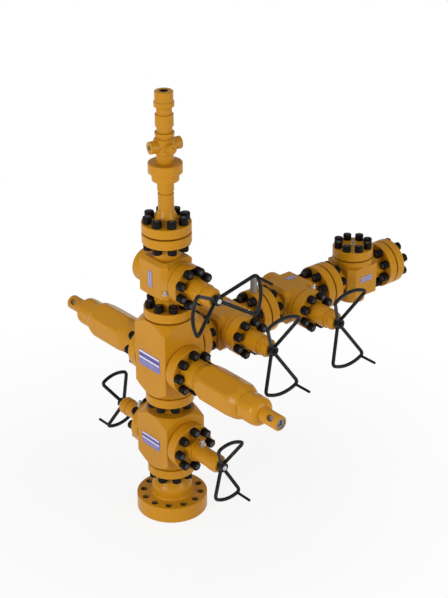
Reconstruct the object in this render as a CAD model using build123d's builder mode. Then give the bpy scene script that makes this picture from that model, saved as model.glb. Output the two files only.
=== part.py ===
"""Wellhead valve stack: flanged blocks and gate valves in a vertical run, and a side wing with a tee.

The origin is the centre of the base flange's lower face. +Z is up, +X points to the handwheels of the
gate valves and +Y runs along the wing. All lengths are millimetres.
"""
import os
from math import acos, cos, degrees, hypot, radians, sin, sqrt

from build123d import *

os.makedirs("parts", exist_ok=True)

UP = (0, 0, 1)
DOWN = (0, 0, -1)
RIGHT = (1, 0, 0)
LEFT = (-1, 0, 0)
ALONG = (0, 1, 0)
BACK = (0, -1, 0)

# Large flange at the foot
base_od = 393.7
base_thickness = 92.1
base_bolt_margin = 38.1
base_bolt_circle = base_od - 2 * base_bolt_margin
base_bolt_count = 12
base_bolt_hole = 39.0
base_bore = 179.4
base_bore_depth = 60.0
base_groove_radius = 105.5
base_groove_width = 12.0
base_groove_depth = 8.0
bell_radius = 112.0
bell_shoulder = 152.0
bell_top = 206.0
bell_foot_fillet = 12.0

# Flange that every valve and block is bolted with
flange_od = 264.0
flange_thickness = 52.0
flange_bolt_margin = 30.4
flange_bolt_circle = flange_od - 2 * flange_bolt_margin
flange_bolt_count = 8
flange_bolt_hole = 31.8
flange_neck_gap = 11.7
flange_neck_radius = (flange_bolt_circle - flange_bolt_hole) / 2 - flange_neck_gap
flange_edge = 3.0
raised_face_gap = 1.7
raised_face_radius = (flange_bolt_circle - flange_bolt_hole) / 2 - raised_face_gap
raised_face_height = 4.5
run_bore = 79.4
stud_depth = 45.0

# Heights between the joints of the vertical run, and the length of a wing valve
base_height = 298.0
lower_block_height = 450.0
ram_block_height = 455.0
swab_length = 485.0
swab_axis_height = 235.5
valve_length = 488.0

# Lower block and ram block
block_width = 264.0
block_edge_fillet = 6.0
block_corner_drop = 52.0
lower_block_body = 330.0
lower_bonnet_height = 162.0
ram_axis_height = 186.0
wing_axis_height = 266.0

# Round pads that the bonnets of the two blocks are bolted to
block_pad_radius = 122.0
block_pad_height = 4.0

# Bonnets of the lower block
side_bonnet_radius = 131.0
side_bonnet_thickness = 58.0
side_bolt_circle = 209.0
side_bolt_count = 8
side_boss_radius = 60.0
side_boss_length = 46.0
side_neck_radius = 47.0
side_neck_length = 125.0
side_cap_radius = 50.0
side_cap_length = 63.0
side_cap_nose_radius = 38.0
side_cap_nose_length = 18.0

# Ram bonnets and cylinders
ram_bonnet_radius = 131.0
ram_bonnet_thickness = 63.0
ram_bolt_circle = 211.0
ram_neck_radius = 82.0
ram_neck_length = 91.0
ram_shoulder_length = 74.0
ram_cylinder_radius = 107.0
ram_cylinder_flat = 96.0
ram_cylinder_length = 194.0
ram_cylinder_nose = 90.0
ram_cap_radius = 80.0
ram_cap_flat = 75.5
ram_cap_length = 84.0
ram_cap_nose = 44.0
ram_lock_radius = 41.0
ram_lock_length = 126.0
ram_lock_chamfer = 5.0
ram_lock_recess_radius = 30.0
ram_lock_recess_depth = 8.0
ram_lock_socket = 32.0
ram_lock_socket_depth = 20.0
ram_slot_width = 34.0
ram_slot_length = 48.0
ram_slot_depth = 22.0
ram_slot_offset = 78.0
ram_slot_tilt = 50.0

# Gate valves of the run and the wing
valve_body_width = 210.0
valve_body_length = 224.0
valve_front_chamfer = 28.0
valve_end_chamfer = 20.0
valve_tail_radius = 97.0
valve_tail_reach = 197.0
valve_tail_fillet = 18.0
valve_pad_radius = 108.0
valve_seat_radius = 100.0
valve_seat_height = 6.0
valve_bonnet_seat = 140.0
valve_bonnet_radius = 111.0
valve_bonnet_thickness = 64.0
valve_bolt_circle = 184.6
valve_bolt_count = 8
valve_bolt_hole = 28.0
valve_boss_radius = 57.0
valve_boss_length = 124.0
valve_neck_radius = 51.0
valve_neck_length = 12.0
valve_cap_radius = 52.0
valve_cap_length = 51.0
valve_cap_nose_radius = 38.0
valve_cap_nose_length = 20.0

# Wheels, their stems and pegs
wheel_bar = 20.0
wheel_corner_trim = 20.0
wheel_half_angle = 31.0
wheel_peg = 15.0
wheel_hub_radius = 27.0
wheel_hub_length = 30.0
wheel_gap = 1.5
stem_radius = 11.0
stem_insert = 30.0
stem_cap_radius = 14.0
stem_cap_height = 7.0
stem_cap_chamfer = 2.0
run_fit = 0.3
large_wheel_radius = 225.0
large_wheel_dish = 80.5
large_peg_length = 112.0
small_wheel_radius = 168.0
small_wheel_dish = 55.5
small_peg_length = 102.0
lower_right_lean = 85.0
lower_left_lean = 95.0
swab_lean = 180.0
wing_inner_lean = 88.6
wing_outer_lean = 89.5

# Tee at the end of the wing
tee_length = 498.0
tee_width = 236.0
tee_edge_chamfer = 36.0
tee_height = 180.0
tee_top_radius = 118.0
tee_top_height = 129.0
tee_cover_thickness = 56.0
tee_cover_bolt_circle = 182.0
tee_foot_radius = 78.0
tee_foot_height = 150.0
end_flange_thickness = 52.0
end_bore = 73.0

# Adapter and pipe above the swab valve
top_flare_radius = 70.0
top_flare_height = 64.0
top_pipe_radius = 42.0
top_pipe_height = 158.0
top_groove_radius = 37.0
top_groove_height = 14.0
top_sub_radius = 44.0
top_sub_height = 58.0
union_step_radius = 72.0
union_step_height = 44.0
union_radius = 90.0
union_height = 53.0
union_edge = 2.0
bleed_foot_radius = 45.0
bleed_foot_height = 45.0
bleed_radius = 52.0
bleed_height = 89.0
bleed_chamfer = 6.0
bleed_neck_radius = 43.0
bleed_neck_height = 13.4
port_height = 45.0
port_turn = 10.0
port_radius = 33.0
port_reach = 88.0
cross_port_radius = 26.0
cross_port_reach = 80.0
port_depth = 30.0
plug_radius = 13.0
plug_head = 7.0
ring_radius = 51.0
ring_height = 16.0
tube_radius = 40.5
tube_height = 32.0
collar_radius = 48.0
collar_height = 64.0
stalk_height = 34.5
bulge_radius = 53.0
bulge_height = 34.0
bulge_slope = 7.0
crown_radius = 48.5
crown_height = 52.0
crown_bore = 46.0
crown_bore_depth = 55.0

# Nameplates
plate_thickness = 2.0
lower_plate_width = 153.0
lower_plate_height = 68.0
lower_plate_offset = 7.5
ram_plate_width = 178.0
ram_plate_height = 88.0
ram_plate_offset = 3.0
ram_plate_rise = 27.0
valve_plate_width = 36.0
swab_plate_height = 92.0
swab_plate_offset = 13.0
wing_plate_length = 62.0
tee_plate_width = 90.0
tee_plate_height = 36.0
tee_plate_rise = 15.0
wing_plate_offset = 34.0
wing_plate_shift = 36.0

# Grease fittings, and the test fitting on the flange behind the inner wing valve
fitting_hex = 19.0
fitting_hex_height = 12.0
fitting_radius = 6.5
fitting_height = 28.0
bonnet_fitting_hex = 28.0
bonnet_fitting_hex_height = 24.0
bonnet_fitting_radius = 10.0
bonnet_fitting_height = 40.0
bonnet_fitting_offset = 82.0
swab_fitting_angle = 197.0
wing_fitting_angle = 56.0
test_fitting_hex = 40.0
test_fitting_hex_height = 20.0
test_fitting_radius = 19.0
test_fitting_height = 88.0
curved_seat_gap = 0.2

overrun = 1.0

# Places worked out from the sizes above
lower_block_z = base_height
ram_block_z = lower_block_z + lower_block_height
swab_z = ram_block_z + ram_block_height
top_z = swab_z + swab_length
lower_axis_z = lower_block_z + lower_bonnet_height
ram_axis_z = ram_block_z + ram_axis_height
wing_z = ram_block_z + wing_axis_height
swab_axis_z = swab_z + swab_axis_height
block_half = block_width / 2
wing_start = block_half + 2 * raised_face_height
first_valve_y = wing_start + valve_length / 2
second_valve_y = first_valve_y + valve_length
tee_y = wing_start + 2 * valve_length + tee_length / 2
end_y = tee_y + tee_length / 2


def shift(origin, direction, distance):
    """The point that lies a distance from the origin along a unit direction."""
    return tuple(o + d * distance for o, d in zip(origin, direction))


def side_of(out):
    """A direction square to out: up for level axes, +X for the others."""
    return UP if out[2] == 0 else RIGHT


def face_plane(origin, out):
    """A plane at the origin that faces out."""
    return Plane(origin=origin, x_dir=side_of(out), z_dir=out)


def profile_plane(origin, out):
    """A plane whose x is the radius and whose y runs out along the axis."""
    radial = side_of(out)
    return Plane(origin=origin, x_dir=radial, z_dir=tuple(Vector(*radial).cross(Vector(*out))))


def turn(origin, out, outline, mode=Mode.ADD):
    """Revolve an outline of (radius, distance) points about the axis through the origin."""
    with BuildSketch(profile_plane(origin, out)) as section:
        with BuildLine():
            Polyline(*outline, close=True)
        make_face()
    revolve(section.sketch, axis=Axis(origin, out), mode=mode)


def drill(origin, out, radius, depth):
    """Cut a round hole that is open at the origin and runs back against out."""
    turn(origin, out, [(0, overrun), (radius, overrun), (radius, -depth), (0, -depth)], mode=Mode.SUBTRACT)


def drill_circle(origin, out, pitch, hole, count, depth, first):
    """Cut a circle of bolt holes into the face at the origin."""
    with Locations(face_plane(origin, out)):
        with PolarLocations(pitch / 2, count, start_angle=first):
            Hole(hole / 2, depth)


def flange_outline(face, neck_end, neck_radius=flange_neck_radius):
    """Outline of a flange whose raised face is at face and whose neck runs back to neck_end."""
    front = face - raised_face_height
    rear = front - flange_thickness
    outer = flange_od / 2
    return [
        (0, face),
        (raised_face_radius, face),
        (raised_face_radius, front),
        (outer - flange_edge, front),
        (outer, front - flange_edge),
        (outer, rear + flange_edge),
        (outer - flange_edge, rear),
        (neck_radius, rear),
        (neck_radius, neck_end),
        (0, neck_end),
    ]


def add_flange(centre, out, reach, neck_end, first):
    """Add a flange with its neck and its bolt holes; reach is its raised face's distance from centre."""
    turn(centre, out, flange_outline(reach, neck_end))
    face = shift(centre, out, reach - raised_face_height)
    drill_circle(face, out, flange_bolt_circle, flange_bolt_hole, flange_bolt_count,
                 flange_thickness + overrun, first)


def save(piece, name):
    """Label a finished piece and write its file."""
    piece.part.label = name
    export_step(piece.part, "parts/" + name + ".step")


def turned_block(low, high, width, drop):
    """A square block whose corners are turned down to a cone at the ends that drop allows."""
    half = width / 2
    corner = half * sqrt(2) + overrun
    spread = corner - half
    with Locations((0, 0, (low + high) / 2)):
        Box(width, width, high - low)
    fillet(edges().filter_by(Axis.Z), block_edge_fillet)
    slope = drop / (half * sqrt(2) - half)
    turn((0, 0, 0), UP, [
        (0, low),
        (half, low),
        (corner, low + spread * slope),
        (corner, high - spread * slope),
        (half, high),
        (0, high),
    ], mode=Mode.INTERSECT)


straddle = 180.0 / flange_bolt_count

# Base adapter: large flange, bell and the flange that carries the stack
with BuildPart() as base_adapter:
    turn((0, 0, 0), UP, [
        (0, 0),
        (base_od / 2 - flange_edge, 0),
        (base_od / 2, flange_edge),
        (base_od / 2, base_thickness - flange_edge),
        (base_od / 2 - flange_edge, base_thickness),
        (bell_radius, base_thickness),
        (bell_radius, bell_shoulder),
        (flange_neck_radius, bell_top),
        (flange_neck_radius, base_height - raised_face_height),
        (0, base_height - raised_face_height),
    ])
    foot = edges().filter_by(GeomType.CIRCLE).filter_by(
        lambda edge: abs(edge.center().Z - base_thickness) < overrun and edge.radius < bell_radius + overrun)
    fillet(foot, bell_foot_fillet)
    shoulder = edges().filter_by(GeomType.CIRCLE).filter_by(
        lambda edge: abs(edge.center().Z - bell_shoulder) < overrun)
    fillet(shoulder, bell_top - bell_shoulder)
    add_flange((0, 0, 0), UP, base_height, bell_top, straddle)
    drill_circle((0, 0, base_thickness), UP, base_bolt_circle, base_bolt_hole, base_bolt_count,
                 base_thickness + overrun, 180.0 / base_bolt_count)
    drill((0, 0, 0), DOWN, base_bore / 2, base_bore_depth)
    drill((0, 0, base_height), UP, run_bore / 2, base_height)
    turn((0, 0, 0), DOWN, [
        (base_groove_radius - base_groove_width / 2, overrun),
        (base_groove_radius + base_groove_width / 2, overrun),
        (base_groove_radius + base_groove_width / 2, -base_groove_depth),
        (base_groove_radius - base_groove_width / 2, -base_groove_depth),
    ], mode=Mode.SUBTRACT)
save(base_adapter, "base_adapter")


def add_pads(height, radius):
    """Add the round pads and the raised studded faces of a block, both ways along X."""
    for out in (RIGHT, LEFT):
        turn((0, 0, height), out, [
            (0, 0),
            (radius, 0),
            (radius, block_half + block_pad_height),
            (0, block_half + block_pad_height),
        ])


def raised_face(origin, out):
    """Add the low round face that seals against a flange."""
    turn(origin, out, [
        (0, -overrun),
        (raised_face_radius, -overrun),
        (raised_face_radius, raised_face_height),
        (0, raised_face_height),
    ])


# Lower block: square gate-valve body with a studded foot and a flanged head
lower_block_foot = lower_block_z + raised_face_height
with BuildPart() as lower_block:
    turned_block(lower_block_foot, lower_block_foot + lower_block_body, block_width, block_corner_drop)
    raised_face((0, 0, lower_block_foot), DOWN)
    add_pads(lower_axis_z, block_pad_radius)
    add_flange((0, 0, 0), UP, ram_block_z, lower_block_foot + lower_block_body - overrun, straddle)
    drill_circle((0, 0, lower_block_foot), DOWN, flange_bolt_circle, flange_bolt_hole, flange_bolt_count,
                 stud_depth, straddle)
save(lower_block, "lower_block")

# Ram block: larger square block with studded faces below, above and on the wing side
ram_block_foot = ram_block_z + raised_face_height
ram_block_head = swab_z - raised_face_height
with BuildPart() as ram_block:
    turned_block(ram_block_foot, ram_block_head, block_width, block_corner_drop)
    raised_face((0, 0, ram_block_foot), DOWN)
    raised_face((0, 0, ram_block_head), UP)
    add_pads(ram_axis_z, block_pad_radius)
    turn((0, 0, wing_z), ALONG, [
        (0, block_half - flange_edge),
        (flange_od / 2, block_half - flange_edge),
        (flange_od / 2, block_half + raised_face_height),
        (raised_face_radius, block_half + raised_face_height),
        (raised_face_radius, wing_start),
        (0, wing_start),
    ])
    for origin, out in (((0, 0, ram_block_foot), DOWN), ((0, 0, ram_block_head), UP),
                        ((0, block_half + raised_face_height, wing_z), ALONG)):
        drill_circle(origin, out, flange_bolt_circle, flange_bolt_hole, flange_bolt_count,
                     stud_depth, straddle)
save(ram_block, "ram_block")

# Bonnets and bearing caps of the lower block
side_seat = block_half + block_pad_height
side_face = side_seat + side_bonnet_thickness
side_cap_seat = side_face + side_boss_length + side_neck_length
side_cap_face = side_cap_seat + side_cap_length
for name, out in (("right", RIGHT), ("left", LEFT)):
    centre = (0, 0, lower_axis_z)
    with BuildPart() as side_bonnet:
        turn(centre, out, [
            (0, side_seat),
            (side_bonnet_radius, side_seat),
            (side_bonnet_radius, side_face - flange_edge),
            (side_bonnet_radius - flange_edge, side_face),
            (side_boss_radius, side_face),
            (side_boss_radius, side_face + side_boss_length),
            (side_neck_radius, side_face + side_boss_length),
            (side_neck_radius, side_cap_seat),
            (0, side_cap_seat),
        ])
        drill_circle(shift(centre, out, side_face), out, side_bolt_circle, flange_bolt_hole,
                     side_bolt_count, side_bonnet_thickness + overrun, 0)
    save(side_bonnet, "lower_bonnet_" + name)

    with BuildPart() as side_cap:
        turn(centre, out, [
            (0, side_cap_seat),
            (side_cap_radius, side_cap_seat),
            (side_cap_radius, side_cap_face - side_cap_nose_length),
            (side_cap_nose_radius, side_cap_face),
            (0, side_cap_face),
        ])
        drill(shift(centre, out, side_cap_face), out, stem_radius + run_fit, stem_insert + run_fit)
    save(side_cap, "lower_bearing_cap_" + name)


def turn_rounded(origin, out, outline):
    """Revolve an outline whose last point runs back to its first in an arc that leaves along out."""
    with BuildSketch(profile_plane(origin, out)) as section:
        with BuildLine():
            Polyline(*outline)
            TangentArc(outline[-1], outline[0], tangent=(0, 1))
        make_face()
    revolve(section.sketch, axis=Axis(origin, out))


def cut_to_hexagon(origin, out, start, end, flat):
    """Keep of the piece between start and end only what lies within a hexagon of that apothem."""
    with BuildSketch(face_plane(shift(origin, out, start), out)) as hexagon:
        RegularPolygon(flat, 6, major_radius=False)
    extrude(hexagon.sketch, amount=end - start, mode=Mode.INTERSECT)


# Ram bonnets, cylinders, end caps and lock screws
ram_seat = block_half + block_pad_height
ram_face = ram_seat + ram_bonnet_thickness
ram_cylinder_start = ram_face + ram_neck_length
ram_cylinder_end = ram_cylinder_start + ram_shoulder_length + ram_cylinder_length
ram_cap_start = ram_cylinder_end + ram_cylinder_nose
ram_cap_end = ram_cap_start + ram_cap_length
ram_lock_start = ram_cap_end + ram_cap_nose
ram_lock_end = ram_lock_start + ram_lock_length
slot_out = (0, -sin(radians(ram_slot_tilt)), cos(radians(ram_slot_tilt)))
for name, out in (("right", RIGHT), ("left", LEFT)):
    centre = (0, 0, ram_axis_z)
    with BuildPart() as ram_bonnet:
        turn(centre, out, [
            (0, ram_seat),
            (ram_bonnet_radius, ram_seat),
            (ram_bonnet_radius, ram_face - flange_edge),
            (ram_bonnet_radius - flange_edge, ram_face),
            (ram_neck_radius, ram_face),
            (ram_neck_radius, ram_cylinder_start),
            (0, ram_cylinder_start),
        ])
        drill_circle(shift(centre, out, ram_face), out, ram_bolt_circle, flange_bolt_hole,
                     side_bolt_count, ram_bonnet_thickness + overrun, 0)
    save(ram_bonnet, "ram_bonnet_" + name)

    with BuildPart() as ram_cylinder:
        turn_rounded(centre, out, [
            (ram_cap_radius, ram_cap_start),
            (0, ram_cap_start),
            (0, ram_cylinder_start),
            (ram_neck_radius, ram_cylinder_start),
            (ram_cylinder_radius, ram_cylinder_start + ram_shoulder_length),
            (ram_cylinder_radius, ram_cylinder_end),
        ])
        cut_to_hexagon(centre, out, ram_cylinder_start, ram_cap_start, ram_cylinder_flat)
    save(ram_cylinder, "ram_cylinder_" + name)

    with BuildPart() as ram_cap:
        turn_rounded(centre, out, [
            (ram_lock_radius, ram_lock_start),
            (0, ram_lock_start),
            (0, ram_cap_start),
            (ram_cap_radius, ram_cap_start),
            (ram_cap_radius, ram_cap_end),
        ])
        cut_to_hexagon(centre, out, ram_cap_start, ram_lock_start, ram_cap_flat)
    save(ram_cap, "ram_end_cap_" + name)

    with BuildPart() as ram_lock:
        turn(centre, out, [
            (0, ram_lock_start),
            (ram_lock_radius, ram_lock_start),
            (ram_lock_radius, ram_lock_end - ram_lock_chamfer),
            (ram_lock_radius - ram_lock_chamfer, ram_lock_end),
            (0, ram_lock_end),
        ])
        drill(shift(centre, out, ram_lock_end), out, ram_lock_recess_radius, ram_lock_recess_depth)
        with BuildSketch(face_plane(shift(centre, out, ram_lock_end), out)):
            Rectangle(ram_lock_socket, ram_lock_socket)
        extrude(amount=-ram_lock_socket_depth, mode=Mode.SUBTRACT)
        slot_centre = shift(shift(centre, out, ram_lock_start + ram_slot_offset), slot_out, ram_lock_radius)
        with BuildSketch(face_plane(slot_centre, slot_out)):
            SlotOverall(ram_slot_length, ram_slot_width)
        extrude(amount=-ram_slot_depth, mode=Mode.SUBTRACT)
    save(ram_lock, "ram_lock_screw_" + name)


# Gate valves: body, bonnet and bearing cap, the same for the swab valve and the wing valves
valve_half = valve_body_width / 2
valve_face = valve_bonnet_seat + valve_bonnet_thickness
valve_cap_seat = valve_face + valve_boss_length + valve_neck_length
valve_cap_face = valve_cap_seat + valve_cap_length


def gate_valve(name, centre, run, fore, aft):
    """Make the body, bonnet and bearing cap of a gate valve.

    Its bore runs along run; fore and aft are the distances from its axis to its two flange faces.
    """
    back = tuple(-value for value in run)
    half_length = valve_body_length / 2
    with BuildPart() as body:
        with BuildSketch(Plane(origin=shift(centre, run, -half_length), x_dir=RIGHT, z_dir=run)):
            valve_outline = Rectangle(valve_body_width, valve_body_width)
            chamfer(valve_outline.vertices().group_by(Axis.X)[-1], valve_front_chamfer)
        extrude(amount=valve_body_length)
        ends = faces().filter_by(Axis(centre, run))
        chamfer(ends.edges(), valve_end_chamfer)
        turn(centre, LEFT, [
            (0, 0),
            (valve_tail_radius, 0),
            (valve_tail_radius, valve_tail_reach - valve_tail_fillet),
            (valve_tail_radius - valve_tail_fillet, valve_tail_reach),
            (0, valve_tail_reach),
        ])
        turn(centre, RIGHT, [
            (0, 0),
            (valve_seat_radius, 0),
            (valve_seat_radius, valve_half - valve_front_chamfer),
            (valve_pad_radius, valve_half - valve_front_chamfer),
            (valve_pad_radius, valve_bonnet_seat - valve_seat_height),
            (valve_seat_radius, valve_bonnet_seat - valve_seat_height),
            (valve_seat_radius, valve_bonnet_seat),
            (0, valve_bonnet_seat),
        ])
        add_flange(centre, run, fore, half_length - overrun, straddle)
        add_flange(centre, back, aft, half_length - overrun, straddle)
    save(body, name + "_body")

    with BuildPart() as bonnet:
        turn(centre, RIGHT, [
            (0, valve_bonnet_seat),
            (valve_bonnet_radius, valve_bonnet_seat),
            (valve_bonnet_radius, valve_face - flange_edge),
            (valve_bonnet_radius - flange_edge, valve_face),
            (valve_boss_radius, valve_face),
            (valve_boss_radius, valve_face + valve_boss_length),
            (valve_neck_radius, valve_face + valve_boss_length),
            (valve_neck_radius, valve_cap_seat),
            (0, valve_cap_seat),
        ])
        drill_circle(shift(centre, RIGHT, valve_face), RIGHT, valve_bolt_circle, valve_bolt_hole,
                     valve_bolt_count, valve_bonnet_thickness + overrun, 180.0 / valve_bolt_count)
    save(bonnet, name + "_bonnet")

    with BuildPart() as cap:
        turn(centre, RIGHT, [
            (0, valve_cap_seat),
            (valve_cap_radius, valve_cap_seat),
            (valve_cap_radius, valve_cap_face - valve_cap_nose_length),
            (valve_cap_nose_radius, valve_cap_face),
            (0, valve_cap_face),
        ])
        drill(shift(centre, RIGHT, valve_cap_face), RIGHT, stem_radius + run_fit, stem_insert + run_fit)
    save(cap, name + "_bearing_cap")


gate_valve("swab", (0, 0, swab_axis_z), UP, swab_length - swab_axis_height, swab_axis_height)
gate_valve("wing_inner", (0, first_valve_y, wing_z), ALONG, valve_length / 2, valve_length / 2)
gate_valve("wing_outer", (0, second_valve_y, wing_z), ALONG, valve_length / 2, valve_length / 2)


def handwheel(name, centre, out, reach, lean, radius, dish, peg_length):
    """Make a wheel of two bent-bar loops on its hub and the stem that it turns.

    The hub's inner face is at reach and the rims lie dish beyond the hub's middle. Lean is the angle
    from +Y of the first loop; the second is opposite and carries the peg.
    """
    hub_mid = reach + wheel_hub_length / 2
    rim_centre = Vector(*shift(centre, out, hub_mid + dish))
    spoke_start = wheel_hub_radius - wheel_bar / 4
    corner_radius = hypot(radius, wheel_corner_trim)
    trim_angle = degrees(acos(radius / corner_radius))
    spoke_length = hypot(corner_radius - spoke_start, dish)
    with BuildPart() as wheel:
        turn(centre, out, [
            (stem_radius + run_fit, reach),
            (wheel_hub_radius, reach),
            (wheel_hub_radius, reach + wheel_hub_length),
            (stem_radius + run_fit, reach + wheel_hub_length),
        ])
        for loop_angle in (lean, lean + 180):
            level = Vector(0, cos(radians(loop_angle)), sin(radians(loop_angle)))
            lateral = Vector(*out).cross(level)
            roots, spoke_ends, rim_ends = [], [], []
            for hand in (-1, 1):
                angle = radians(hand * wheel_half_angle)
                trimmed = radians(hand * (wheel_half_angle - trim_angle))
                radial = level * cos(angle) + lateral * sin(angle)
                root = rim_centre - Vector(*out) * dish + radial * spoke_start
                corner = rim_centre + radial * corner_radius
                roots.append(root)
                spoke_ends.append(corner + (root - corner) * (wheel_corner_trim / spoke_length))
                rim_ends.append(rim_centre + (level * cos(trimmed) + lateral * sin(trimmed)) * radius)
            with BuildLine() as loop:
                Line(roots[0], spoke_ends[0])
                TangentArc(spoke_ends[0], rim_ends[0], tangent=spoke_ends[0] - roots[0])
                ThreePointArc(rim_ends[0], rim_centre + level * radius, rim_ends[1])
                TangentArc(spoke_ends[1], rim_ends[1], tangent=spoke_ends[1] - roots[1])
                Line(roots[1], spoke_ends[1])
            path = loop.wires()[0]
            with BuildSketch(Plane(origin=path @ 0, z_dir=path % 0)) as bar_section:
                Circle(wheel_bar / 2)
            sweep(bar_section.sketch, path=path)
        with BuildSketch(Plane(origin=rim_ends[1], z_dir=out)):
            Circle(wheel_peg / 2)
        extrude(amount=peg_length)
    save(wheel, name + "_handwheel")

    with BuildPart() as stem:
        hub_face = reach + wheel_hub_length + run_fit
        cap_face = hub_face + stem_cap_height
        turn(centre, out, [
            (0, reach - stem_insert),
            (stem_radius, reach - stem_insert),
            (stem_radius, hub_face),
            (stem_cap_radius, hub_face),
            (stem_cap_radius, cap_face - stem_cap_chamfer),
            (stem_cap_radius - stem_cap_chamfer, cap_face),
            (0, cap_face),
        ])
    save(stem, name + "_stem")


small_reach = side_cap_face + wheel_gap
large_reach = valve_cap_face + wheel_gap
handwheel("lower_right", (0, 0, lower_axis_z), RIGHT, small_reach, lower_right_lean,
          small_wheel_radius, small_wheel_dish, small_peg_length)
handwheel("lower_left", (0, 0, lower_axis_z), LEFT, small_reach, lower_left_lean,
          small_wheel_radius, small_wheel_dish, small_peg_length)
handwheel("swab", (0, 0, swab_axis_z), RIGHT, large_reach, swab_lean,
          large_wheel_radius, large_wheel_dish, large_peg_length)
handwheel("wing_inner", (0, first_valve_y, wing_z), RIGHT, large_reach, wing_inner_lean,
          large_wheel_radius, large_wheel_dish, large_peg_length)
handwheel("wing_outer", (0, second_valve_y, wing_z), RIGHT, large_reach, wing_outer_lean,
          large_wheel_radius, large_wheel_dish, large_peg_length)

# Tee: block with flanges along the wing, a studded head and a round foot
tee_centre = (0, tee_y, wing_z)
with BuildPart() as tee_block:
    with BuildSketch(Plane(origin=shift(tee_centre, DOWN, tee_height / 2), x_dir=RIGHT, z_dir=UP)):
        tee_outline = Rectangle(tee_width, tee_width)
        chamfer(tee_outline.vertices(), tee_edge_chamfer)
    extrude(amount=tee_height)
    turn(tee_centre, UP, [
        (0, -tee_foot_height),
        (tee_foot_radius, -tee_foot_height),
        (tee_foot_radius, 0),
        (tee_top_radius, 0),
        (tee_top_radius, tee_top_height - raised_face_height),
        (raised_face_radius, tee_top_height - raised_face_height),
        (raised_face_radius, tee_top_height),
        (0, tee_top_height),
    ])
    add_flange(tee_centre, ALONG, tee_length / 2, tee_width / 2 - overrun, straddle)
    add_flange(tee_centre, BACK, tee_length / 2, tee_width / 2 - overrun, straddle)
save(tee_block, "tee_block")

with BuildPart() as tee_cover:
    turn(tee_centre, UP, [
        (0, tee_top_height),
        (raised_face_radius, tee_top_height),
        (raised_face_radius, tee_top_height + raised_face_height),
        (tee_top_radius, tee_top_height + raised_face_height),
        (tee_top_radius, tee_top_height + tee_cover_thickness - flange_edge),
        (tee_top_radius - flange_edge, tee_top_height + tee_cover_thickness),
        (0, tee_top_height + tee_cover_thickness),
    ])
    drill_circle(shift(tee_centre, UP, tee_top_height + tee_cover_thickness), UP, tee_cover_bolt_circle,
                 valve_bolt_hole, flange_bolt_count, tee_cover_thickness, straddle)
save(tee_cover, "tee_cover_flange")

with BuildPart() as end_flange:
    turn((0, end_y, wing_z), ALONG, [
        (0, 0),
        (raised_face_radius, 0),
        (raised_face_radius, raised_face_height),
        (flange_od / 2 - flange_edge, raised_face_height),
        (flange_od / 2, raised_face_height + flange_edge),
        (flange_od / 2, raised_face_height + end_flange_thickness - flange_edge),
        (flange_od / 2 - flange_edge, raised_face_height + end_flange_thickness),
        (0, raised_face_height + end_flange_thickness),
    ])
    drill_circle((0, end_y + raised_face_height + end_flange_thickness, wing_z), ALONG, flange_bolt_circle,
                 flange_bolt_hole, flange_bolt_count, end_flange_thickness + overrun, straddle)
    drill((0, end_y + raised_face_height + end_flange_thickness, wing_z), ALONG, end_bore / 2,
          raised_face_height + end_flange_thickness + overrun)
save(end_flange, "wing_end_flange")

# Adapter above the swab valve: flange, flare and pipe
adapter_flange_top = raised_face_height + flange_thickness
pipe_top = adapter_flange_top + top_pipe_height
with BuildPart() as top_adapter:
    turn((0, 0, top_z), UP, [
        (0, 0),
        (raised_face_radius, 0),
        (raised_face_radius, raised_face_height),
        (flange_od / 2 - flange_edge, raised_face_height),
        (flange_od / 2, raised_face_height + flange_edge),
        (flange_od / 2, adapter_flange_top - flange_edge),
        (flange_od / 2 - flange_edge, adapter_flange_top),
        (top_flare_radius, adapter_flange_top),
        (top_pipe_radius, adapter_flange_top + top_flare_height),
        (top_pipe_radius, pipe_top),
        (0, pipe_top),
    ])
    drill_circle((0, 0, top_z + adapter_flange_top), UP, flange_bolt_circle, flange_bolt_hole,
                 flange_bolt_count, flange_thickness + overrun, straddle)
save(top_adapter, "top_adapter")

# Union nut on a short threaded sub with a groove under it
groove_top = pipe_top + top_groove_height
sub_top = groove_top + top_sub_height
union_top = sub_top + union_step_height + union_height
with BuildPart() as top_sub:
    turn((0, 0, top_z), UP, [
        (0, pipe_top),
        (top_groove_radius, pipe_top),
        (top_groove_radius, groove_top),
        (top_sub_radius, groove_top),
        (top_sub_radius, sub_top),
        (0, sub_top),
    ])
save(top_sub, "threaded_sub")

with BuildPart() as union_nut:
    turn((0, 0, top_z), UP, [
        (0, sub_top),
        (union_step_radius - union_edge, sub_top),
        (union_step_radius, sub_top + union_edge),
        (union_step_radius, sub_top + union_step_height),
        (union_radius, sub_top + union_step_height),
        (union_radius, union_top - flange_edge),
        (union_radius - flange_edge, union_top),
        (0, union_top),
    ])
save(union_nut, "union_nut")

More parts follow.
